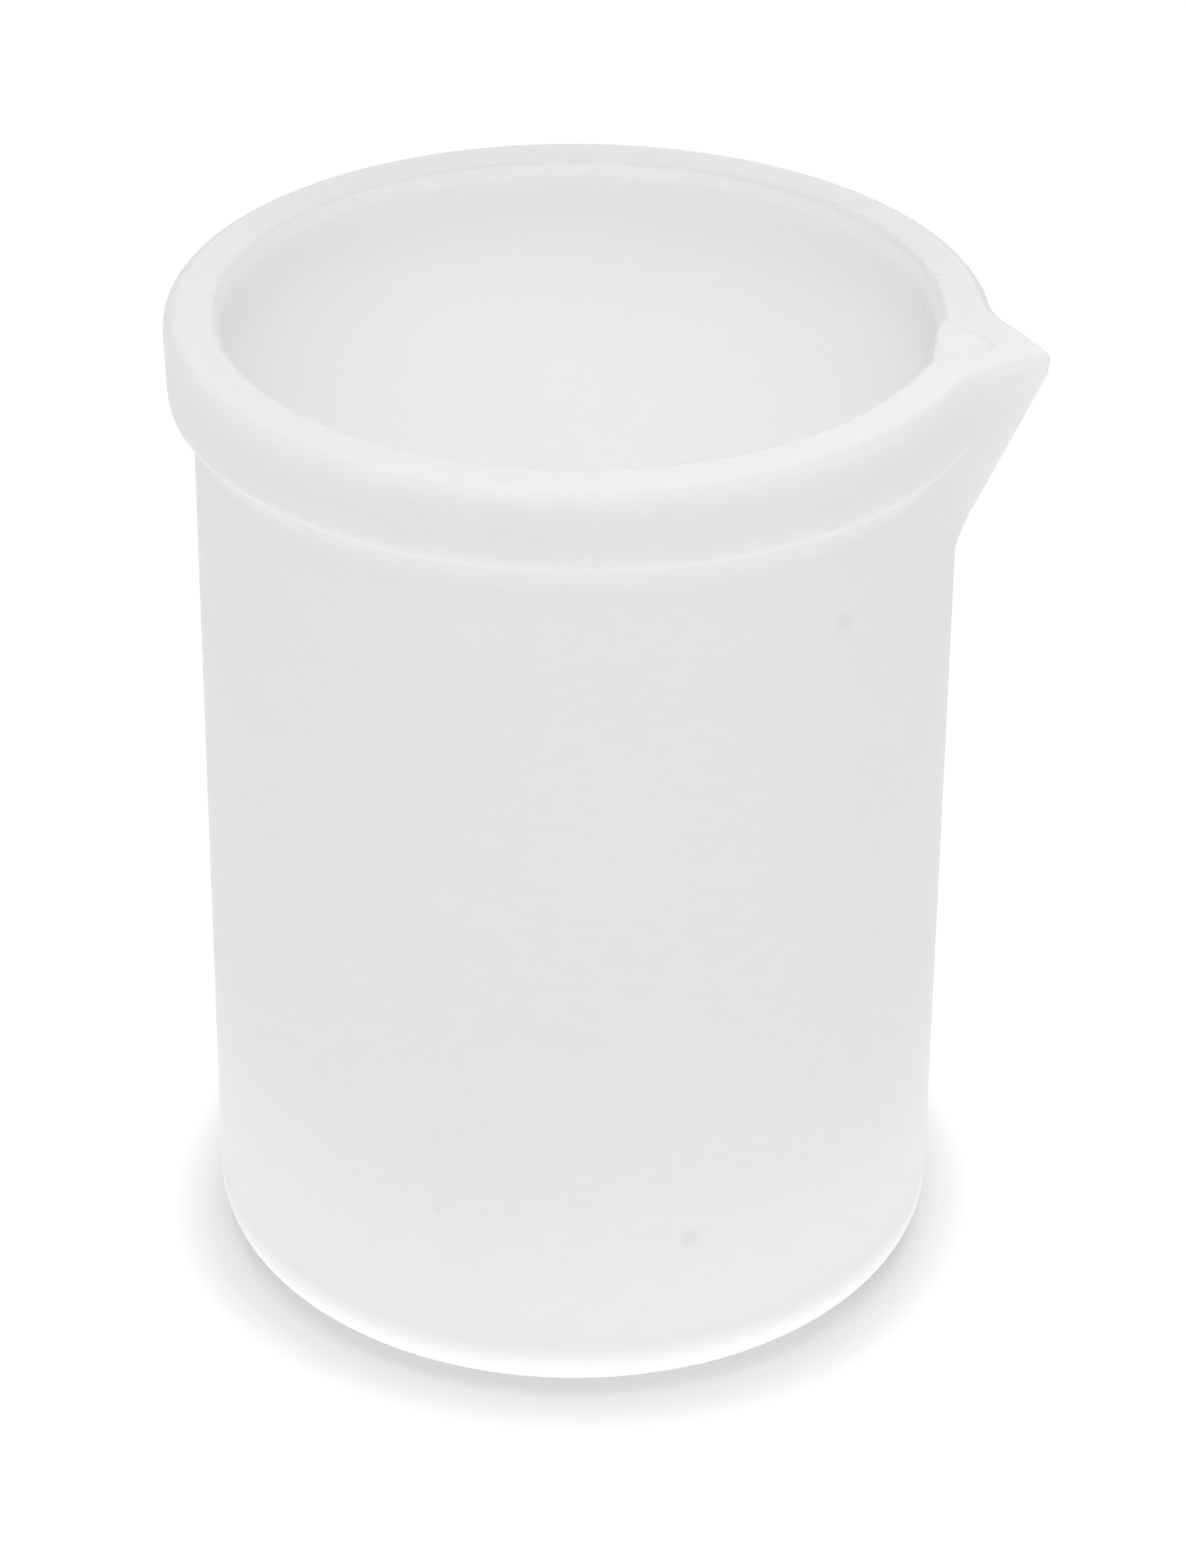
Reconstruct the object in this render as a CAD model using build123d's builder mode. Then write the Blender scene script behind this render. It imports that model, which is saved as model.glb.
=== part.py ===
"""Low-form laboratory beaker of white fluoropolymer, one solid piece.

The axis of the vessel is Z, the foot stands on Z = 0, and the pouring spout points along +X.
All sizes are in millimetres.
"""
import os
from math import radians, tan

from build123d import *

os.makedirs("parts", exist_ok=True)

# Vessel
HEIGHT = 97.0  # foot to rim
BODY_RADIUS = 35.0  # outside of the wall
WALL = 2.7
FLOOR = 3.2
FOOT_ROUND = 5.0  # outside radius between wall and foot
WELL_ROUND = 5.0  # inside radius between wall and floor
RIM_BEVEL = 0.7  # chamfer between the rim's land and the bore

# Collar that stiffens the rim
COLLAR_STAND = 2.5  # how far it stands out from the wall
COLLAR_BAND = 7.6  # height of its upright band, rim to lower corner
COLLAR_TAPER = 0.2  # how much narrower the band is at its lower corner
COLLAR_TOP_ROUND = 1.3
COLLAR_CORNER_ROUND = 1.0
COLLAR_COVE = 4.0  # hollow radius that leads the underside into the wall
UNDERSIDE_ANGLE = 50.0  # slope of the underside, in degrees from upright

# Spout
SPOUT_REACH = 5.5  # tip, out from the collar
SPOUT_HALF_ANGLE = 51.0  # each flank, in degrees from the spout's middle plane
SPOUT_ROOT = 1.5  # how deep the spout's wedge is rooted in the wall
TIP_HEIGHT = 2.2  # short upright edge at the tip
TIP_ROUND = 0.3
KEEL_DEPTH = 20.5  # rim down to where the keel runs out into the wall
FLANK_FILLET = 12.0  # hollow radius between a flank and the collar's band

# Pouring channel: a V-shaped groove across the rim, shallower towards the spout's tip
CHANNEL_DEPTH = 2.8  # at the bore
CHANNEL_HALF_WIDTH = 4.9  # at the bore
CHANNEL_RUN = 5.4  # from the bore out to its point
CHANNEL_OVERRUN = 2.0  # how far the cutter starts inside the bore

# Sizes that follow
BORE_RADIUS = BODY_RADIUS - WALL
COLLAR_RADIUS = BODY_RADIUS + COLLAR_STAND
CORNER_RADIUS = COLLAR_RADIUS - COLLAR_TAPER
CORNER_HEIGHT = HEIGHT - COLLAR_BAND
COVE_HEIGHT = CORNER_HEIGHT - (CORNER_RADIUS - BODY_RADIUS) / tan(radians(UNDERSIDE_ANGLE))
TIP_RADIUS = COLLAR_RADIUS + SPOUT_REACH
ROOT_RADIUS = BODY_RADIUS - SPOUT_ROOT
CHANNEL_START = BORE_RADIUS - CHANNEL_OVERRUN
CHANNEL_POINT = BORE_RADIUS + CHANNEL_RUN
CHANNEL_GROWTH = (CHANNEL_RUN + CHANNEL_OVERRUN) / CHANNEL_RUN
CHANNEL_END_WIDTH = CHANNEL_HALF_WIDTH * CHANNEL_GROWTH
CHANNEL_END_DEPTH = CHANNEL_DEPTH * CHANNEL_GROWTH


def wedge_outline(tip):
    """Triangle in plan from the tip back into the wall, flanks at the spout's half angle."""
    half_width = (tip - ROOT_RADIUS) * tan(radians(SPOUT_HALF_ANGLE))
    return [(tip, 0), (ROOT_RADIUS, half_width), (ROOT_RADIUS, -half_width)]


with BuildPart() as beaker:
    # Turned blank: foot, wall, cove, collar and the flat land of the rim
    with BuildSketch(Plane.XZ) as blank:
        Polygon(
            (0, 0),
            (BODY_RADIUS, 0),
            (BODY_RADIUS, COVE_HEIGHT),
            (CORNER_RADIUS, CORNER_HEIGHT),
            (COLLAR_RADIUS, HEIGHT),
            (0, HEIGHT),
            align=None,
        )
        outside = blank.vertices().filter_by(lambda v: v.X > 0).sort_by(Axis.Y)
        fillet(outside[0], FOOT_ROUND)
        fillet(outside[1], COLLAR_COVE)
        fillet(outside[2], COLLAR_CORNER_ROUND)
    revolve(axis=Axis.Z)

    # Spout: a wedge, upright at the tip, that slants back to the wall below it
    with BuildSketch(Plane.XY.offset(HEIGHT)):
        Polygon(*wedge_outline(TIP_RADIUS), align=None)
    extrude(amount=-TIP_HEIGHT)
    with BuildSketch(Plane.XY.offset(HEIGHT - TIP_HEIGHT)):
        Polygon(*wedge_outline(TIP_RADIUS), align=None)
    with BuildSketch(Plane.XY.offset(HEIGHT - KEEL_DEPTH)):
        Polygon(*wedge_outline(BODY_RADIUS), align=None)
    loft(ruled=True)

    # Flanks run into the collar's band in a wide hollow
    band = beaker.edges().filter_by(lambda e: e.center().Z > CORNER_HEIGHT)
    flank_seams = band.filter_by(lambda e: e.center().X > ROOT_RADIUS and e.geom_type != GeomType.LINE)
    fillet(flank_seams, FLANK_FILLET)
    tip_edge = beaker.edges().filter_by(Axis.Z).sort_by(Axis.X)[-1]
    fillet(tip_edge, TIP_ROUND)
    fillet(beaker.faces().sort_by(Axis.Z)[-1].outer_wire().edges(), COLLAR_TOP_ROUND)

    # Bore, with its rounded floor and the bevel at the rim
    with BuildSketch(Plane.XZ) as bore:
        Polygon(
            (0, FLOOR),
            (BORE_RADIUS, FLOOR),
            (BORE_RADIUS, HEIGHT - RIM_BEVEL),
            (BORE_RADIUS + RIM_BEVEL, HEIGHT),
            (0, HEIGHT),
            align=None,
        )
        fillet(bore.vertices().filter_by(lambda v: v.X > 0).sort_by(Axis.Y)[0], WELL_ROUND)
    revolve(axis=Axis.Z, mode=Mode.SUBTRACT)

    # Pouring channel
    with BuildSketch(Plane.YZ.offset(CHANNEL_START)) as channel_end:
        Polygon(
            (-CHANNEL_END_WIDTH, HEIGHT),
            (0, HEIGHT - CHANNEL_END_DEPTH),
            (CHANNEL_END_WIDTH, HEIGHT),
            (0, HEIGHT + CHANNEL_END_DEPTH),
            align=None,
        )
    loft(sections=[channel_end.sketch.face(), Vertex(CHANNEL_POINT, 0, HEIGHT)], mode=Mode.SUBTRACT)

beaker.part.label = "beaker"
export_step(beaker.part, "parts/beaker.step")
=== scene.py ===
"""A low-form laboratory beaker of white fluoropolymer, on a pale studio floor.

One turned vessel: rounded foot, plain wall, a collar round the rim, a wedge-shaped
pouring spout with a keel below it, and a hand-cut V channel across the rim's land.
The axis is Z, the foot stands on Z = 0, and the spout points along +X.
Every length in the properties is in metres.
"""

import bpy
import numpy as np
from mathutils import Matrix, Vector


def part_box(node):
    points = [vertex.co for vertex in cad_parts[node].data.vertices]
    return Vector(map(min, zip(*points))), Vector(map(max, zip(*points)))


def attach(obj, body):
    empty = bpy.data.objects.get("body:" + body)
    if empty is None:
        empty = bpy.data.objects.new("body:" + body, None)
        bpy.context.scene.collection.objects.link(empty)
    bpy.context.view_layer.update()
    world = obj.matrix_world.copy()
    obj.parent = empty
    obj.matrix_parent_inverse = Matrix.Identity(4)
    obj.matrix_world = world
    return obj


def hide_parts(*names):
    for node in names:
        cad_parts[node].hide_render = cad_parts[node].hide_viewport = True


bl_info = {
    "name": "Fluoropolymer Beaker",
    "version": (1, 0, 0),
    "blender": (4, 5, 0),
    "location": "View3D > Sidebar > Beaker",
    "description": "Builds a turned white beaker with a cut pouring channel, and its studio stage",
    "category": "Object",
}

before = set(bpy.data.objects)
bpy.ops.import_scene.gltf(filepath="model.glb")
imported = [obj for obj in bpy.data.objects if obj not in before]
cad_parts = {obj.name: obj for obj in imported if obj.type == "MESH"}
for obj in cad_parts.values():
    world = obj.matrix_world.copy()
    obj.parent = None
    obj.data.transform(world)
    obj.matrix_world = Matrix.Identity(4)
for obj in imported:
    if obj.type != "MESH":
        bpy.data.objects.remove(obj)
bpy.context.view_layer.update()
_, CAD_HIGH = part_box("beaker")

PIECE = "beaker_body"
MM = 0.001
FOOT_TO_RIM = CAD_HIGH.z
TIP_REACH = CAD_HIGH.x

# Fine sizes that the panel doesn't need.
RIM_GAP = 0.05 * MM  # the land lies this far below the height, so that burrs stay inside it
KEEL_RUN_OUT = 3.0 * MM  # plain wall starts this far below the keel's end
TIP_LEAN = 0.12 * MM  # the tip's upright edge leans in by this much
EDGE_WANDER = 0.05 * MM  # how far cut edges wander
MOUTH_FLARE, MOUTH_WIDTH = 0.25 * MM, np.radians(13.0)  # the land's edge steps back at the spout
TIP_WIDTH = np.radians(4.5)  # azimuth over which the upper edge gets tighter
CREST_INSET, BURR_FOOT = 0.12 * MM, 0.16 * MM  # the burr's crest, and its foot on the land
CREST_ROWS = (0.09 * MM, 0.03 * MM, -0.03 * MM)  # rows across the crest
FRONT_EDGE, FRONT_TURN = 1.3 * MM, np.radians(40.0)  # the channel's front edge: offset, turn
BACK_EDGE, BACK_TURN = 0.55 * MM, np.radians(37.0)  # the channel's back edge
ROOT_BLEND, NOSE_BLEND = 0.5 * MM, 0.8 * MM  # rounding between the channel's edges
LIP_REACH = 0.3 * MM  # how quickly the channel's lip falls
# The channel and bore marks set where the material paints a lighter white, as painted light.
CHANNEL_MARK = 0.25 * MM  # how far inside the channel its mark is full
BORE_MARK_START, BORE_MARK_DEPTH = 0.3 * MM, 2.0 * MM  # where the bore's white comes in
SPOUT_SIDE = 0.5  # the spout reaches no azimuth whose cosine is under this
CREST_RISES = (0.3, 1.0, 1.0, 0.0)  # the burr's shape across, as shares of its height

# Specks, soft blotches, short scratches and shreds of lint, as handling leaves them: azimuth
# in degrees, radius and height in mm, size in mm, strength, and how they are squashed.
ROUND_DOT = (1.0, 1.0, 1.0)
HANDLING_MARKS = (
    (55, 32.9, 97.0, 0.30, 0.7, ROUND_DOT),
    (70, 32.3, 80.0, 0.6, 0.2, ROUND_DOT),
    (-36, 35.0, 78.5, 1.6, 0.2, ROUND_DOT),
    (-60, 35.0, 17.5, 1.5, 0.2, ROUND_DOT),
    (-99, 35.0, 20.0, 0.5, 0.2, ROUND_DOT),
    (-80, 34.3, 3.5, 0.3, 0.8, ROUND_DOT),
    (23, 32.3, 93.5, 0.6, 0.4, (1.0, 3.0, 0.7)),
    (23.5, 33.6, 97.0, 0.6, 0.5, (0.9, 4.0, 1.0)),
    (-45, 37.4, 90.0, 0.5, 0.3, (2.5, 2.5, 0.7)),
    (-134, 37.4, 90.5, 0.6, 0.4, (3.0, 3.0, 0.6)),
    (154, 35.5, 97.0, 0.5, 0.4, (0.8, 3.0, 1.0)),
    (143, 32.6, 96.2, 0.5, 0.35, (0.8, 3.0, 1.5)),
)


def length(name, description, default):
    """A length property of the panel, in metres."""
    return bpy.props.FloatProperty(
        name=name, description=description, default=default, min=0.0, unit="LENGTH", precision=5
    )


def angle(name, description, degrees):
    """An angle property of the panel, stored in radians."""
    return bpy.props.FloatProperty(
        name=name, description=description, default=float(np.radians(degrees)), unit="ROTATION"
    )


def share(name, description, default):
    """A plain number between nothing and all."""
    return bpy.props.FloatProperty(
        name=name, description=description, default=default, min=0.0, max=1.0, subtype="FACTOR"
    )


def watts(name, description, default):
    """The power of a soft box."""
    return bpy.props.FloatProperty(name=name, description=description, default=default, min=0.0, unit="POWER")


def colour(name, description, default):
    """A linear colour swatch."""
    return bpy.props.FloatVectorProperty(
        name=name, description=description, default=default, size=3, min=0.0, max=1.0, subtype="COLOR"
    )


class BEAKER_PG_vessel(bpy.types.PropertyGroup):
    """Sizes of the turned vessel."""

    height: length("Height", "Foot to rim", FOOT_TO_RIM)
    wall_radius: length("Wall radius", "Outside of the plain wall", 35.0 * MM)
    bore_radius: length("Bore radius", "Inside of the wall", 32.3 * MM)
    floor: length("Floor", "Thickness under the well", 3.2 * MM)
    foot_round: length("Foot round", "Outside radius between wall and foot", 5.0 * MM)
    well_round: length("Well round", "Inside radius between wall and floor", 5.0 * MM)
    bevel: length("Rim bevel", "Drop of the soft bevel between land and bore", 1.8 * MM)
    land_radius: length("Land edge", "Inner edge of the rim's flat land", 33.05 * MM)
    burr: length("Burr", "Height of the fine burr along the land's inner edge", 0.02 * MM)
    collar_radius: length("Collar radius", "Outside of the collar at the rim", 37.44 * MM)
    collar_foot: length("Collar foot radius", "Outside of the collar at its lower corner", 37.24 * MM)
    collar_band: length("Collar band", "Rim down to the collar's lower corner", 7.6 * MM)
    collar_top_round: length("Top round", "Rounding of the collar's upper edge", 1.3 * MM)
    collar_corner_round: length("Corner round", "Rounding of the collar's lower corner", 1.0 * MM)
    collar_cove: length("Cove", "Hollow that leads the underside into the wall", 4.0 * MM)
    underside: angle("Underside", "Slope of the collar's underside from upright", 50.0)


class BEAKER_PG_spout(bpy.types.PropertyGroup):
    """Sizes of the pouring spout and its channel."""

    reach: length("Reach", "Tip of the spout from the axis", TIP_REACH)
    half_angle: angle("Half angle", "Each flank from the spout's middle plane", 50.0)
    tip_height: length("Tip height", "Upright edge below the rim", 2.2 * MM)
    keel_depth: length("Keel depth", "Rim down to where the keel runs out", 20.5 * MM)
    hollow: length("Hollow", "Width of the hollow between flank and collar", 1.45 * MM)
    droop: length("Droop", "How far the top of the spout sinks at its tip", 0.6 * MM)
    droop_start: length("Droop start", "Where the top starts to sink, from the axis", 38.3 * MM)
    tip_round: length("Tip round", "Rounding of the upright tip edge", 0.22 * MM)
    top_round: length("Spout top round", "Rounding of the upper edge at the tip", 0.35 * MM)
    channel_point: length("Channel point", "How far the channel runs out from the axis", 37.8 * MM)
    channel_slope: angle("Channel slope", "Fall of each channel face from its edge", 31.0)
    channel_lip: length("Channel lip", "Depth of the steeper lip round the channel", 0.35 * MM)


class BEAKER_PG_finish(bpy.types.PropertyGroup):
    """Colours and finish of the fluoropolymer."""

    body: colour("Outside", "Milky white of the handled outside", (0.862, 0.862, 0.862))
    # Mottle is also the darker tone that paints shade below the collar.
    shade: colour("Mottle", "Slightly darker milk in the mottling", (0.81, 0.81, 0.81))
    # The bore's white is painted light: a lighter copy of the outside's white, for the bright bore and, in
    # part, the channel.
    bore: colour("Bore", "Cleaner white of the turned bore", (0.985, 0.985, 0.985))
    # Burr line grey is also the tone that the land's painted shade mixes towards.
    burr: colour("Burr line", "Grey in the burr along cut edges", (0.55, 0.55, 0.55))
    # Foot glow and wall glow are painted light: emission in the beaker's own colour, standing in for light
    # from the floor.
    foot_glow: share("Foot glow", "Light that the lit floor sends up through the foot's rounding", 0.24)
    wall_glow: share("Wall glow", "The same light, fading up the lower wall", 0.06)
    roughness: share("Roughness", "Waxy satin", 0.42)
    translucence: share("Translucence", "Light that spreads below the surface", 1.0)
    spread: length("Spread", "How far light spreads below the surface", 3.0 * MM)


class BEAKER_PG_stage(bpy.types.PropertyGroup):
    """Floor, light and camera."""

    floor_white: share("Floor", "White of the pale studio floor", 0.93)
    # Floor at the foot and Contact paint a contact shadow: the floor's white and its glow are dimmed in a
    # ring round the foot.
    floor_dim: share("Floor at the foot", "White of the floor in the foot's shade", 0.81)
    sky: bpy.props.FloatProperty(name="Sky", description="Strength of the even tent light", default=0.369)
    glow: share("Floor glow", "Light the floor sheet lets through, far out", 0.222)
    glow_near: share("Near glow", "Light the floor sheet lets through, round the foot", 0.347)
    contact: length(
        "Contact", "Radius of the dim ring under the foot, where little glow comes through", 33.0 * MM
    )
    top: watts("Top", "Wide soft box straight above", 3.21)
    above_front: watts("Above front", "Soft box above and in front", 0.40)
    front: watts("Front", "Soft box in front", 1.29)
    left: watts("Left", "Soft box on the left", 0.32)
    right: watts("Right", "Soft box on the right", 0.42)
    back: watts("Back", "Soft box behind", 1.18)
    camera_place: bpy.props.FloatVectorProperty(
        name="Camera", description="Place of the camera", default=(0.08434, -0.39681, 0.28583),
        size=3, subtype="TRANSLATION", unit="LENGTH", precision=5,
    )
    camera_heading: angle("Heading", "Camera's turn to the left of +Y", 11.761)
    camera_dip: angle("Dip", "Camera's look below the horizon", 30.526)
    camera_roll: angle("Roll", "Camera's roll to the right", -0.45)
    lens: bpy.props.FloatProperty(
        name="Lens", description="Focal length on a 36 mm long side", default=113.3, unit="CAMERA"
    )


# ---------------------------------------------------------------------------
# Surfaces


def round_turns():
    """Azimuths of the columns, in radians, one full turn starting at the spout.

    Steps of a tenth of a degree across the channel and the tip, then wider and wider
    steps away from the spout; the second half mirrors the first.
    """
    near = np.linspace(0.0, 10.5, 106)
    flank = np.linspace(10.5, 21.0, 31)[1:]
    far = np.linspace(21.0, 180.0, 64)[1:]
    half = np.concatenate([near, flank, far])
    return np.radians(np.concatenate([half, -half[-2:0:-1]]))


def fillet_arc(before, corner, after, radius, steps):
    """Points on the arc of that radius that touches both legs of a corner.

    The centre lies on the corner's bisector, radius / sin(half the corner's angle) away,
    and the arc runs from the foot on the first leg to the foot on the second.
    """
    before, corner, after = (np.asarray(p, float) for p in (before, corner, after))
    leg_in = (before - corner) / np.linalg.norm(before - corner)
    leg_out = (after - corner) / np.linalg.norm(after - corner)
    half = np.arccos(np.clip(leg_in @ leg_out, -1.0, 1.0)) / 2.0
    bisector = (leg_in + leg_out) / np.linalg.norm(leg_in + leg_out)
    centre = corner + bisector * radius / np.sin(half)
    first = corner + leg_in * radius / np.tan(half) - centre
    last = corner + leg_out * radius / np.tan(half) - centre
    sweep = np.arctan2(first[0] * last[1] - first[1] * last[0], first @ last)
    turn = np.linspace(0.0, sweep, steps)
    across = np.array([-first[1], first[0]])
    return centre + np.cos(turn)[:, None] * first + np.sin(turn)[:, None] * across


def run(start, end, steps):
    """Evenly spaced points between two points, both left out."""
    share_along = np.linspace(0.0, 1.0, steps + 2)[1:-1, None]
    return np.asarray(start) * (1.0 - share_along) + np.asarray(end) * share_along


def soft_larger(a, b, width):
    """The larger of two surfaces, joined by a hollow: max(a, b) + h * h / (4 * width),
    where h is how far width exceeds the gap between them."""
    gap = np.maximum(width - np.abs(a - b), 0.0)
    return np.maximum(a, b) + gap * gap / (4.0 * width)


def soft_smaller(a, b, width):
    """The smaller of two surfaces with the ridge between them rounded over."""
    return -soft_larger(-a, -b, width)


def ripple(x, waves, seed):
    """Smooth wander between about -1 and 1: a sum of sines with seeded phases and sizes."""
    rng = np.random.default_rng(seed)
    phases = rng.uniform(0.0, 2.0 * np.pi, len(waves))
    sizes = rng.uniform(0.5, 1.0, len(waves))
    waves = np.asarray(waves, float)
    total = np.sin(np.asarray(x)[..., None] * waves + phases) * sizes
    return total.sum(-1) / sizes.sum()


def keel_radius(z, vessel, spout):
    """How far the spout's ridge stands from the axis at each height.

    A straight slope, wall + (tip - wall) * rise, where rise is 0 at the keel's end and 1 where
    the upright edge starts, and above that the tip's reach less a small lean.
    """
    top = vessel.height - spout.tip_height
    end = vessel.height - spout.keel_depth
    rise = (z - end) / (top - end)
    slope = vessel.wall_radius + (spout.reach - vessel.wall_radius) * rise
    lean = TIP_LEAN * np.clip((vessel.height - z) / spout.tip_height, 0.0, 1.0)
    return np.minimum(slope, spout.reach - lean)


def outer_radius(turn, base, z, inset, vessel, spout):
    """Radius of the outside at each azimuth and height, inset by a distance.

    The turned surface and the spout's wedge are joined by a hollow. A wedge whose ridge is
    at radius k and whose flanks make the half angle g with the middle plane has the plan
    radius k / (cos t + |sin t| / tan g), with |sin t| rounded at the tip.
    """
    cot = 1.0 / np.tan(spout.half_angle)
    blunt = spout.tip_round * cot / spout.reach
    side = np.sqrt(np.sin(turn) ** 2 + blunt**2) - blunt
    forward = np.maximum(np.cos(turn) + side * cot, 0.05)
    ridge = keel_radius(z, vessel, spout) - inset / np.sin(spout.half_angle)
    wedge = np.where(np.cos(turn) > SPOUT_SIDE, ridge / forward, 0.0)
    return soft_larger(base - inset, wedge, spout.hollow)


def channel_fall(x, y, spout):
    """How far the pouring channel lies below the land at each place in plan.

    s is the distance inside the channel's outline, the softened smallest of the distances
    to its front edge, its back edge and its blunt end. The fall is a steep lip,
    lip * (1 - exp(-s / reach)), plus a plain slope, s * tan(slope). Gives the fall and s.
    """
    nose = spout.channel_point - x
    wobble = EDGE_WANDER * ripple(x / MM, (2.1, 3.7, 6.3), 5)
    front = (y + FRONT_EDGE) * np.cos(FRONT_TURN) + nose * np.sin(FRONT_TURN)
    back = (BACK_EDGE - y) * np.cos(BACK_TURN) + nose * np.sin(BACK_TURN)
    wedge = soft_smaller(front + wobble, back - wobble, ROOT_BLEND)
    inside = soft_smaller(wedge, nose, NOSE_BLEND)
    depth = np.maximum(inside, 0.0)
    lip = spout.channel_lip * (1.0 - np.exp(-depth / LIP_REACH))
    return np.where(inside > 0.0, lip + depth * np.tan(spout.channel_slope), 0.0), inside


def tip_droop(x, spout):
    """How far the spout's top sinks: the droop times the squared share of the way to the tip."""
    share_out = np.clip((x - spout.droop_start) / (spout.reach - spout.droop_start), 0.0, 1.0)
    return spout.droop * share_out**2


def plain_height(vessel, spout):
    """Height up to which the wall is plain all round."""
    return vessel.height - spout.keel_depth - KEEL_RUN_OUT


def outside_meridian(top, vessel, spout):
    """Radius and height of the turned outside, from the foot's middle to the upper edge.

    Straight runs to the foot's corner, up the wall, out along the collar's underside and up
    its band, with an arc in the place of each corner.
    """
    foot, wall_foot = (0.0, 0.0), (vessel.wall_radius, 0.0)
    collar_foot = (vessel.collar_foot, vessel.height - vessel.collar_band)
    underside = (vessel.collar_foot - vessel.wall_radius) / np.tan(vessel.underside)
    wall_top = (vessel.wall_radius, collar_foot[1] - underside)
    band_top = (vessel.collar_radius, top - vessel.collar_top_round)
    foot_arc = fillet_arc(foot, wall_foot, wall_top, vessel.foot_round, 14)
    cove = fillet_arc(wall_foot, wall_top, collar_foot, vessel.collar_cove, 12)
    corner = fillet_arc(wall_top, collar_foot, band_top, vessel.collar_corner_round, 12)
    plain_end = (vessel.wall_radius, plain_height(vessel, spout))
    return np.concatenate([
        run(foot, foot_arc[0], 6),
        foot_arc,
        run(foot_arc[-1], plain_end, 10),
        run(plain_end, cove[0], 34),
        cove,
        run(cove[-1], corner[0], 3),
        corner,
        run(corner[-1], band_top, 14),
    ])


def well_meridian(vessel):
    """Radius and height of the well: an arc from the bore to the floor, then the floor."""
    bore_top, bore_foot = (vessel.bore_radius, vessel.height), (vessel.bore_radius, vessel.floor)
    middle = (0.0, vessel.floor)
    arc = fillet_arc(bore_top, bore_foot, middle, vessel.well_round, 12)
    return np.concatenate([arc, run(arc[-1], middle, 6)])


def upper_edge(turn, top, vessel, spout):
    """Radius and height of the upper edge, rounded over by a quarter circle.

    The round is the collar's all round, but blends into the tip's tighter one by
    exp(-(t / w) ** 2), where t is the azimuth from the tip.
    """
    near_tip = np.exp(-((turn / TIP_WIDTH) ** 2))
    edge_round = vessel.collar_top_round + (spout.top_round - vessel.collar_top_round) * near_tip
    over = np.linspace(0.0, np.pi / 2.0, 15)[:, None]
    inset = edge_round * (1.0 - np.cos(over))
    height = top - edge_round + edge_round * np.sin(over)
    return outer_radius(turn, vessel.collar_radius, height, inset, vessel, spout), height


def rim_rows(turn, edge, vessel):
    """Rows across the flat land, over its fine burr and down the soft bevel into the bore.

    With d from 0 at the land to 1 at the bore, the bevel's radius is
    bore + (land - bore) * (1 - d) ** 1.9, and its drop, as a share of the bevel, is a small
    upright start, 0.04 * min(8 * d, 1), plus 0.96 * d ** 1.2. Gives each row's radius and its
    rise over the land, and how many rows the land and the burr have.
    """
    wander = EDGE_WANDER * ripple(turn, (3, 7, 11, 19, 31, 53), 11)
    by_spout = np.exp(-((turn / MOUTH_WIDTH) ** 2))
    inner_edge = vessel.land_radius + wander + MOUTH_FLARE * by_spout
    crest = inner_edge + CREST_INSET
    along = np.linspace(0.0, 1.0, 62)[1:, None]
    land = edge + (crest + BURR_FOOT - edge) * along
    burr = np.stack([*(crest + across for across in CREST_ROWS), inner_edge])
    burr_rise = np.array(CREST_RISES)[:, None] * vessel.burr
    burr_rise = burr_rise * (0.7 + 0.3 * ripple(turn, (5, 13, 29, 61, 97), 23))
    down = np.linspace(0.0, 1.0, 15)[1:, None]
    bevel = vessel.bore_radius + (inner_edge - vessel.bore_radius) * (1.0 - down) ** 1.9
    drop = vessel.bevel * (0.04 * np.minimum(down * 8.0, 1.0) + 0.96 * down ** 1.2)
    radius = np.concatenate([land, burr, bevel])
    rise = np.concatenate([np.zeros_like(land), burr_rise, -np.repeat(drop, len(turn), 1)])
    return radius, rise, len(land), len(burr)


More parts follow.
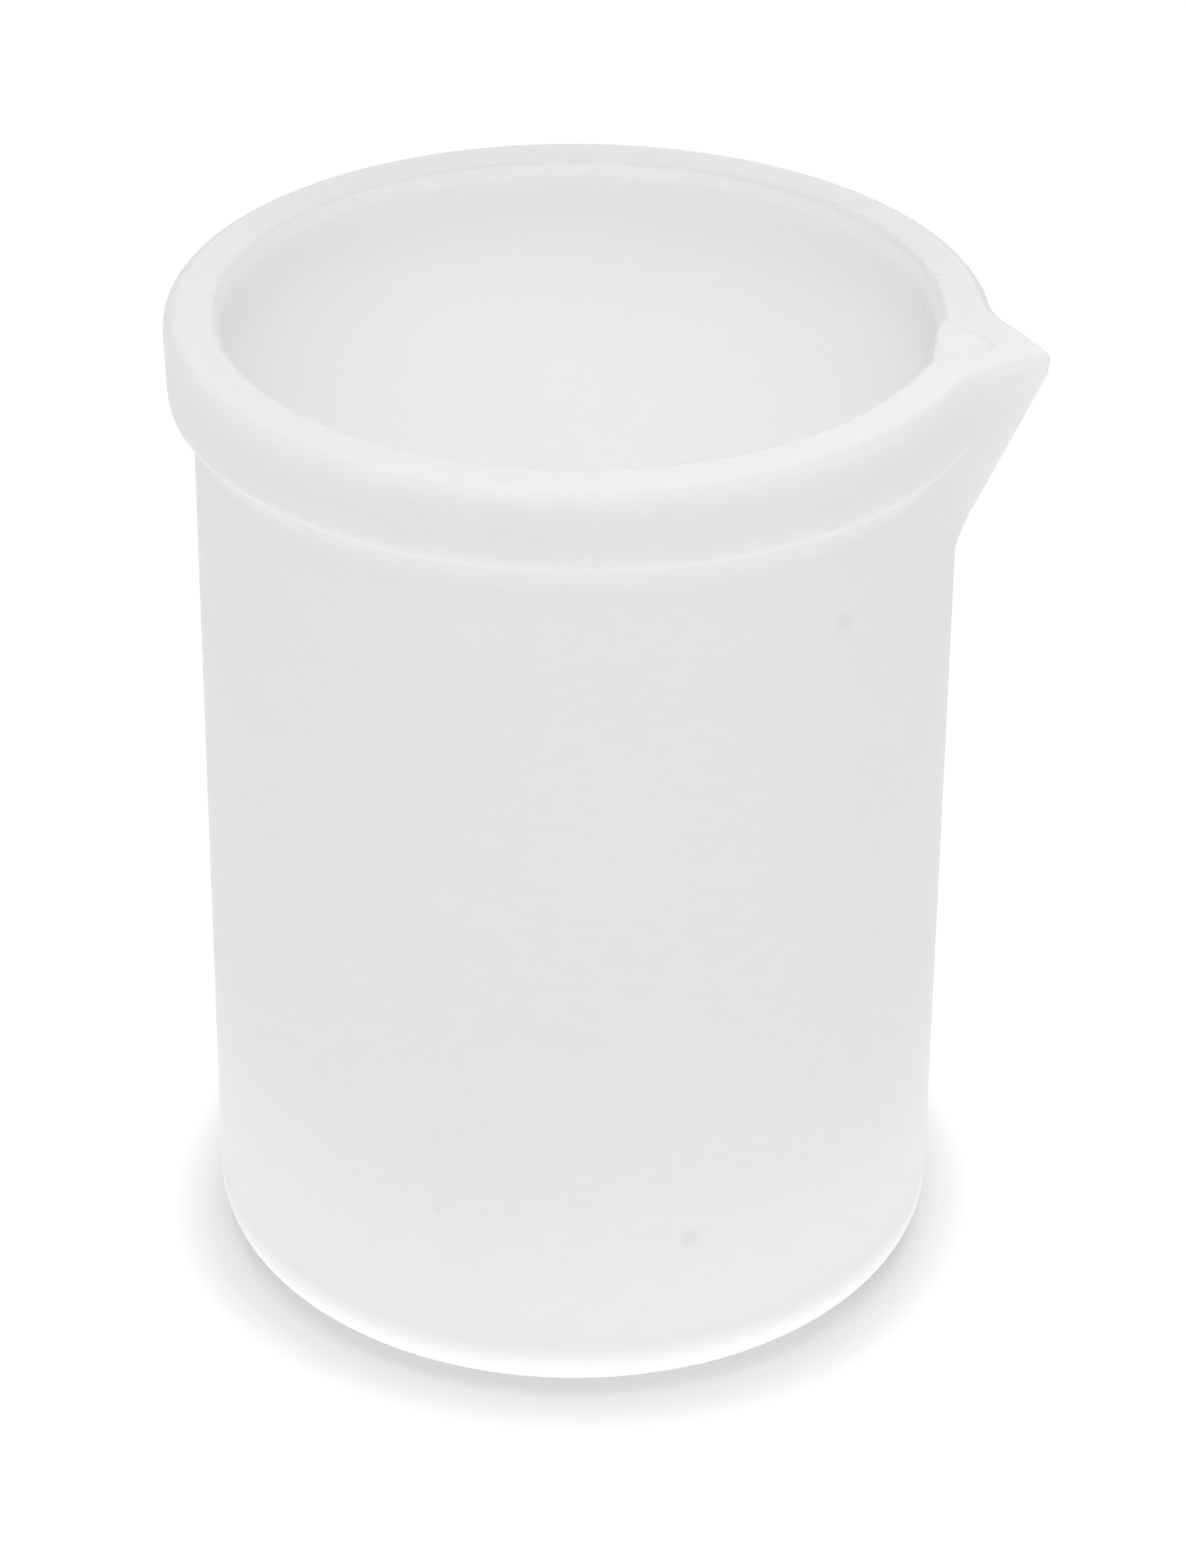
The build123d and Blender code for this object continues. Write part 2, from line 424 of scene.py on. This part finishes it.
def beaker_rows(turn, vessel, spout):
    """Radius, height and marks of the whole skin, as arrays of rows by columns.

    The rows follow one meridian from the foot's middle, up the outside, over the rim and
    down the bore to the middle of the well; each row is one closed ring of columns. The mark
    "channel" is 1 inside the channel, "burr" is 1 on the burr outside it, and "bore" rises
    smoothly to 1 below the rim, inside. Where "bore" and "channel" are, the material paints
    a lighter white, as painted light.
    smoothly to 1 below the rim, inside.
    """
    top = vessel.height - RIM_GAP
    cols = len(turn)
    meridian = outside_meridian(top, vessel, spout)
    outside = outer_radius(turn, meridian[:, :1], meridian[:, 1:], 0.0, vessel, spout)
    plain = meridian[:, 1] < plain_height(vessel, spout)
    outside[plain] = meridian[plain, :1]
    edge, edge_height = upper_edge(turn, top, vessel, spout)
    edge_height = edge_height - tip_droop(edge * np.cos(turn), spout)

    rim, rise, land_rows, burr_rows = rim_rows(turn, edge[-1], vessel)
    fall, inside = channel_fall(rim * np.cos(turn), rim * np.sin(turn), spout)
    inside[:, np.cos(turn) < SPOUT_SIDE] = -1.0
    rim_height = np.where(inside > 0.0, np.minimum(top - fall, top + rise), top + rise)
    rim_height = rim_height - tip_droop(rim * np.cos(turn), spout)

    well = well_meridian(vessel)
    depth = np.linspace(0.0, 1.0, 30)[1:-1, None] ** 1.7
    bore_height = rim_height[-1] + (well[0, 1] - rim_height[-1]) * depth
    bore = np.full_like(bore_height, vessel.bore_radius)
    outside_height, well_height = (np.repeat(part[:, 1:], cols, 1) for part in (meridian, well))
    radius = np.concatenate([outside, edge, rim, bore, np.repeat(well[:, :1], cols, 1)])
    height = np.concatenate([outside_height, edge_height, rim_height, bore_height, well_height])

    marks = {mark: np.zeros_like(radius) for mark in ("channel", "burr", "bore")}
    rim_start = len(meridian) + len(edge)
    burr_start = rim_start + land_rows
    bevel_start = burr_start + burr_rows
    rim_end = rim_start + len(rim)
    marks["channel"][rim_start:rim_end] = np.clip(inside / CHANNEL_MARK, 0.0, 1.0)
    uncut = inside <= 0.0
    marks["burr"][burr_start:bevel_start] = uncut[land_rows:land_rows + burr_rows]
    under_rim = np.clip((top - BORE_MARK_START - height[bevel_start:]) / BORE_MARK_DEPTH, 0.0, 1.0)
    marks["bore"][bevel_start:] = under_rim * under_rim * (3.0 - 2.0 * under_rim)
    marks["bore"][bevel_start:rim_end] *= uncut[land_rows + burr_rows:]
    return radius, height, marks


def skin_mesh(name, turn, radius, height, marks):
    """A closed mesh from rings of points: quads between neighbouring rings and a fan at each pole."""
    rows, cols = radius.shape
    points = np.stack([radius * np.cos(turn), radius * np.sin(turn), height], -1).reshape(-1, 3)
    poles = np.array([[0.0, 0.0, height[0, 0]], [0.0, 0.0, height[-1, 0]]])
    points = np.concatenate([points, poles])
    ring = np.arange(cols)
    following = (ring + 1) % cols
    start = (np.arange(rows - 1) * cols)[:, None]
    quads = np.stack([start + ring, start + following, start + cols + following, start + cols + ring], -1)
    quads = quads.reshape(-1, 4)
    foot_pole, well_pole = rows * cols, rows * cols + 1
    last = (rows - 1) * cols
    foot_fan = np.stack([np.full(cols, foot_pole), following, ring], -1)
    well_fan = np.stack([np.full(cols, well_pole), last + ring, last + following], -1)
    corners = np.concatenate([quads.ravel(), foot_fan.ravel(), well_fan.ravel()])
    sizes = np.concatenate([np.full(len(quads), 4), np.full(2 * cols, 3)])
    starts = np.concatenate([[0], np.cumsum(sizes)[:-1]])

    mesh = bpy.data.meshes.new(name)
    mesh.vertices.add(len(points))
    mesh.vertices.foreach_set("co", points.astype(np.float32).ravel())
    mesh.loops.add(len(corners))
    mesh.loops.foreach_set("vertex_index", corners.astype(np.int32))
    mesh.polygons.add(len(sizes))
    mesh.polygons.foreach_set("loop_start", starts.astype(np.int32))
    mesh.polygons.foreach_set("use_smooth", np.ones(len(sizes), bool))
    for mark, values in marks.items():
        layer = mesh.attributes.new(mark, "FLOAT", "POINT")
        layer.data.foreach_set("value", np.concatenate([values.ravel(), [0.0, 0.0]]).astype(np.float32))
    mesh.update(calc_edges=True)
    if mesh.validate():
        raise RuntimeError(f"{name} has faults in its mesh")
    return mesh


# ---------------------------------------------------------------------------
# Materials


class Flow:
    """A value that flows through a material; arithmetic on it adds Math nodes."""

    def __init__(self, tree, socket=None):
        self.tree = tree
        self.socket = socket

    def node(self, kind, settings=None, inputs=None, output=0):
        """Adds a node: its settings first, then its sockets' values or links; gives one output."""
        made = self.tree.nodes.new(kind)
        for key, value in (settings or {}).items():
            setattr(made, key, value)
        for key, value in (inputs or {}).items():
            socket = made.inputs[key]
            if isinstance(value, Flow):
                self.tree.links.new(value.socket, socket)
            else:
                socket.default_value = value
        return Flow(self.tree, made.outputs[output] if made.outputs else None)

    def smooth(self, low, high, first, last):
        """A smooth step of this value: the first result up to low, the last one from high on."""
        return self.node(
            "ShaderNodeMapRange", {"interpolation_type": "SMOOTHSTEP"},
            {"Value": self, "From Min": low, "From Max": high, "To Min": first, "To Max": last},
        )

    def mix(self, first, second):
        """Two colours mixed by this value: the first one at 0, the second one at 1."""
        return self.node(
            "ShaderNodeMix", {"data_type": "RGBA"}, {"Factor": self, "A": first, "B": second}, output=2
        )

    def vector(self, operation, *values, output=0):
        """Vector Math on this vector and others."""
        sockets = dict(enumerate((self, *values)))
        return self.node("ShaderNodeVectorMath", {"operation": operation}, sockets, output)

    def _math(self, operation, *values):
        return self.node("ShaderNodeMath", {"operation": operation}, dict(enumerate(values)))

    def __add__(self, other):
        return self._math("ADD", self, other)

    __radd__ = __add__

    def __sub__(self, other):
        return self._math("SUBTRACT", self, other)

    def __rsub__(self, other):
        return self._math("SUBTRACT", other, self)

    def __mul__(self, other):
        return self._math("MULTIPLY", self, other)

    __rmul__ = __mul__


def bare_material(name):
    """A material with an emptied node tree, and where its values start."""
    material = bpy.data.materials.new(name)
    material.use_nodes = True
    material.node_tree.nodes.clear()
    return material, Flow(material.node_tree)


def soft_dot(place, turned, radius, height, size, strength, squash):
    """A soft dot at an azimuth, radius and height, squashed along the axes."""
    azimuth = np.radians(turned)
    centre = (radius * MM * np.cos(azimuth), radius * MM * np.sin(azimuth), height * MM)
    off = place.vector("SUBTRACT", centre).vector("MULTIPLY", squash)
    return off.vector("LENGTH", output="Value").smooth(0.0, size * MM, strength, 0.0)


def fluoropolymer(finish):
    """White fluoropolymer: waxy satin with faint mottling, fine turning rings and cut marks; its colour also
    holds painted shade, painted light and a painted glow.
    """
    material, start = bare_material("White_fluoropolymer")
    place = start.node("ShaderNodeTexCoord", output="Object")
    across = start.node("ShaderNodeSeparateXYZ", None, {"Vector": place}, output="Y")
    height = start.node("ShaderNodeSeparateXYZ", None, {"Vector": place}, output="Z")
    channel, burr, bore = (
        start.node("ShaderNodeAttribute", {"attribute_name": name}, output="Fac")
        for name in ("channel", "burr", "bore")
    )

    def noise(stretch, scale, detail, offset=0.0):
        moved = start.node(
            "ShaderNodeMapping", None,
            {"Vector": place, "Location": (offset, offset, offset), "Scale": stretch},
        )
        return start.node(
            "ShaderNodeTexNoise", {"noise_dimensions": "3D"},
            {"Vector": moved, "Scale": scale, "Detail": detail, "Roughness": 0.55},
        )

    streaks = noise((1.0, 1.0, 4.0), 420.0, 4.0)
    clouds = noise((1.0, 1.0, 1.6), 26.0, 4.0, 3.1)
    grain = noise((1.0, 1.0, 1.0), 900.0, 3.0, 7.7)

    # The outside is mottled, with painted shade below the collar; the bore and, less, the channel are painted
    # a lighter white, as painted light.
    mottle = (streaks * 0.6 + clouds * 0.4).smooth(0.40, 0.70, 0.0, 0.30)
    painted_shade_below_collar = height.smooth(FOOT_TO_RIM - 23.0 * MM, FOOT_TO_RIM - 9.0 * MM, 0.45, 0.0)
    painted_light_white = (*finish.bore, 1.0)
    outside = (mottle + painted_shade_below_collar).mix((*finish.body, 1.0), (*finish.shade, 1.0))
    body = (channel * 0.35).mix(bore.mix(outside, painted_light_white), painted_light_white)

    # Grey are the handling marks and the burr's streaks; the land is greyed as painted shade, more towards
    # the back.
    land = height.smooth(FOOT_TO_RIM - 0.8 * MM, FOOT_TO_RIM - 0.25 * MM, 0.0, 1.0) * (1.0 - channel)
    marks_and_painted_shade = burr * streaks * 0.3 + land * across.smooth(-14.0 * MM, 34.0 * MM, 0.11, 0.33)
    for handled in HANDLING_MARKS:
        marks_and_painted_shade = marks_and_painted_shade + soft_dot(place, *handled)
    painted = marks_and_painted_shade.mix(body, (*finish.burr, 1.0))

    # Painted light: the foot's rounding and the lower wall glow as if lit from the floor; the bore doesn't
    # glow.
    foot_glow = height.smooth(2.0 * MM, 6.5 * MM, finish.foot_glow, 0.0)
    wall_glow = height.smooth(0.0, 32.0 * MM, finish.wall_glow, 0.0)
    rings = start.node(
        "ShaderNodeTexWave", {"wave_type": "BANDS", "bands_direction": "Z", "wave_profile": "SIN"},
        {"Vector": place, "Scale": 700.0, "Distortion": 1.5, "Detail": 2.0, "Detail Scale": 0.6},
        output="Fac",
    )
    relief = grain * 0.35 + streaks * 0.15 + rings * (0.25 - channel * 0.25)
    bump = start.node("ShaderNodeBump", None, {"Height": relief, "Strength": 0.25, "Distance": 0.06 * MM})
    shader = start.node(
        "ShaderNodeBsdfPrincipled", None,
        {
            "Base Color": painted,
            "Roughness": finish.roughness + (streaks - 0.5) * 0.08,
            "IOR": 1.38,
            "Subsurface Weight": finish.translucence,
            "Subsurface Radius": (1.0, 1.0, 1.0),
            "Subsurface Scale": finish.spread,
            "Emission Color": (foot_glow + wall_glow) * (1.0 - bore),
            "Emission Strength": 1.0,
            "Normal": bump,
        },
    )
    start.node("ShaderNodeOutputMaterial", None, {"Surface": shader})
    return material


def stage_floor_material(stage):
    """Pale floor sheet with a little light coming through it, and a painted contact shadow round the foot."""
    material, start = bare_material("Pale_floor")
    place = start.node("ShaderNodeTexCoord", output="Object")
    reach = place.vector("MULTIPLY", (1.0, 1.0, 0.0)).vector("LENGTH", output="Value")
    # Painted contact shadow: no glow and a dimmer white inside the contact ring.
    glow = reach.smooth(stage.contact, stage.contact + 13.0 * MM, 0.0, 1.0)
    glow = glow * reach.smooth(stage.contact + 5.0 * MM, 85.0 * MM, stage.glow_near, stage.glow)
    shade_edge = (stage.contact - 2.0 * MM, stage.contact + 8.0 * MM)
    sheet = reach.smooth(*shade_edge, stage.floor_dim, stage.floor_white)
    shader = start.node(
        "ShaderNodeBsdfPrincipled", None,
        {
            "Base Color": sheet,
            "Roughness": 0.9,
            "Specular IOR Level": 0.0,
            "Emission Color": glow,
            "Emission Strength": 1.0,
        },
    )
    start.node("ShaderNodeOutputMaterial", None, {"Surface": shader})
    return material


# ---------------------------------------------------------------------------
# Operators


class BEAKER_OT_vessel(bpy.types.Operator):
    """Make the beaker's skin as one closed surface, in the place of its CAD solid"""

    bl_idname = "beaker.vessel"
    bl_label = "Make vessel"

    def execute(self, context):
        scene = context.scene
        turn = round_turns()
        radius, height, marks = beaker_rows(turn, scene.beaker_vessel, scene.beaker_spout)
        mesh = skin_mesh(PIECE, turn, radius, height, marks)
        mesh.materials.append(fluoropolymer(scene.beaker_finish))
        body = bpy.data.objects.new(PIECE, mesh)
        scene.collection.objects.link(body)
        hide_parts("beaker")
        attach(body, "root")
        return {"FINISHED"}


class BEAKER_OT_stage(bpy.types.Operator):
    """Lay the pale floor, hang the soft light and set up the camera"""

    bl_idname = "beaker.stage"
    bl_label = "Set stage"

    def execute(self, context):
        scene = context.scene
        stage = scene.beaker_stage
        self.floor(scene, stage)
        self.light(scene, stage)
        self.camera(scene, stage)
        scene.view_settings.view_transform = "Standard"
        scene.view_settings.look = "None"
        scene.cycles.max_bounces = 24
        scene.cycles.diffuse_bounces = 24
        return {"FINISHED"}

    def floor(self, scene, stage):
        """A square sheet, far wider than any view reaches, just under the foot."""
        half, drop = 6.0, -0.05 * MM
        mesh = bpy.data.meshes.new("Studio_floor")
        corners = [(-half, -half, drop), (half, -half, drop), (half, half, drop), (-half, half, drop)]
        mesh.from_pydata(corners, [], [(0, 1, 2, 3)])
        mesh.materials.append(stage_floor_material(stage))
        sheet = bpy.data.objects.new("Studio_floor", mesh)
        scene.collection.objects.link(sheet)

    def light(self, scene, stage):
        """An even white tent, with soft boxes above it and on its four sides."""
        world = bpy.data.worlds.new("Light_tent")
        world.use_nodes = True
        background = world.node_tree.nodes["Background"]
        background.inputs["Color"].default_value = (1.0, 1.0, 1.0, 1.0)
        background.inputs["Strength"].default_value = stage.sky
        scene.world = world
        for name, power, size, place in (
            ("Top_box", stage.top, 0.9, (0.0, -0.01, 0.9)),
            ("Above_front_box", stage.above_front, 0.5, (0.05, -0.35, 0.8)),
            ("Front_box", stage.front, 0.6, (0.1, -0.8, 0.6)),
            ("Left_box", stage.left, 0.6, (-0.8, -0.1, 0.5)),
            ("Right_box", stage.right, 0.6, (0.8, -0.1, 0.5)),
            ("Back_box", stage.back, 0.6, (0.0, 0.8, 0.6)),
        ):
            lamp = bpy.data.lights.new(name, "AREA")
            lamp.shape = "DISK"
            lamp.size = size
            lamp.energy = power
            box = bpy.data.objects.new(name, lamp)
            aim = np.array([0.0, 0.0, 0.05]) - np.array(place)
            box.matrix_world = self.looking(place, aim / np.linalg.norm(aim), 0.0)
            box.visible_camera = False
            scene.collection.objects.link(box)

    def camera(self, scene, stage):
        """A long lens that looks down on the rim from the front."""
        heading, dip = stage.camera_heading, stage.camera_dip
        forward = np.array([
            -np.sin(heading) * np.cos(dip), np.cos(heading) * np.cos(dip), -np.sin(dip),
        ])
        data = bpy.data.cameras.new("Camera")
        data.lens = stage.lens
        data.sensor_width = 36.0
        data.clip_start = 0.01
        data.clip_end = 100.0
        camera = bpy.data.objects.new("Camera", data)
        camera.matrix_world = self.looking(tuple(stage.camera_place), forward, stage.camera_roll)
        scene.collection.objects.link(camera)
        scene.camera = camera

    @staticmethod
    def looking(place, forward, roll):
        """The matrix of something at a place that looks along a direction, rolled about it."""
        right = np.cross(forward, (0.0, 0.0, 1.0))
        if np.linalg.norm(right) < 1e-6:
            right = np.array([1.0, 0.0, 0.0])
        right = right / np.linalg.norm(right)
        up = np.cross(right, forward)
        across = np.cos(roll) * right - np.sin(roll) * up
        above = np.sin(roll) * right + np.cos(roll) * up
        matrix = np.eye(4)
        matrix[:3, 0], matrix[:3, 1] = across, above
        matrix[:3, 2], matrix[:3, 3] = -np.asarray(forward), place
        return Matrix(matrix.tolist())


class BEAKER_PT_panel(bpy.types.Panel):
    """Sizes, finish and stage of the beaker, with a button for each step"""

    bl_label = "Beaker"
    bl_idname = "BEAKER_PT_panel"
    bl_space_type = "VIEW_3D"
    bl_region_type = "UI"
    bl_category = "Beaker"

    def draw(self, context):
        scene = context.scene
        for group in (scene.beaker_vessel, scene.beaker_spout, scene.beaker_finish, scene.beaker_stage):
            box = self.layout.box()
            for name in group.__annotations__:
                box.prop(group, name)
        for step in STEPS:
            self.layout.operator(step.bl_idname)


GROUPS = {
    "beaker_vessel": BEAKER_PG_vessel,
    "beaker_spout": BEAKER_PG_spout,
    "beaker_finish": BEAKER_PG_finish,
    "beaker_stage": BEAKER_PG_stage,
}
STEPS = (BEAKER_OT_vessel, BEAKER_OT_stage)


def register():
    """Adds the classes and hangs the settings on the scene."""
    for kind in (*GROUPS.values(), *STEPS, BEAKER_PT_panel):
        bpy.utils.register_class(kind)
    for name, kind in GROUPS.items():
        setattr(bpy.types.Scene, name, bpy.props.PointerProperty(type=kind))


def unregister():
    """Takes the settings and the classes away again."""
    for name in GROUPS:
        delattr(bpy.types.Scene, name)
    for kind in (BEAKER_PT_panel, *STEPS, *GROUPS.values()):
        bpy.utils.unregister_class(kind)


def main():
    """Builds the beaker and its stage."""
    register()
    bpy.ops.beaker.vessel()
    bpy.ops.beaker.stage()


if __name__ == "__main__":
    main()
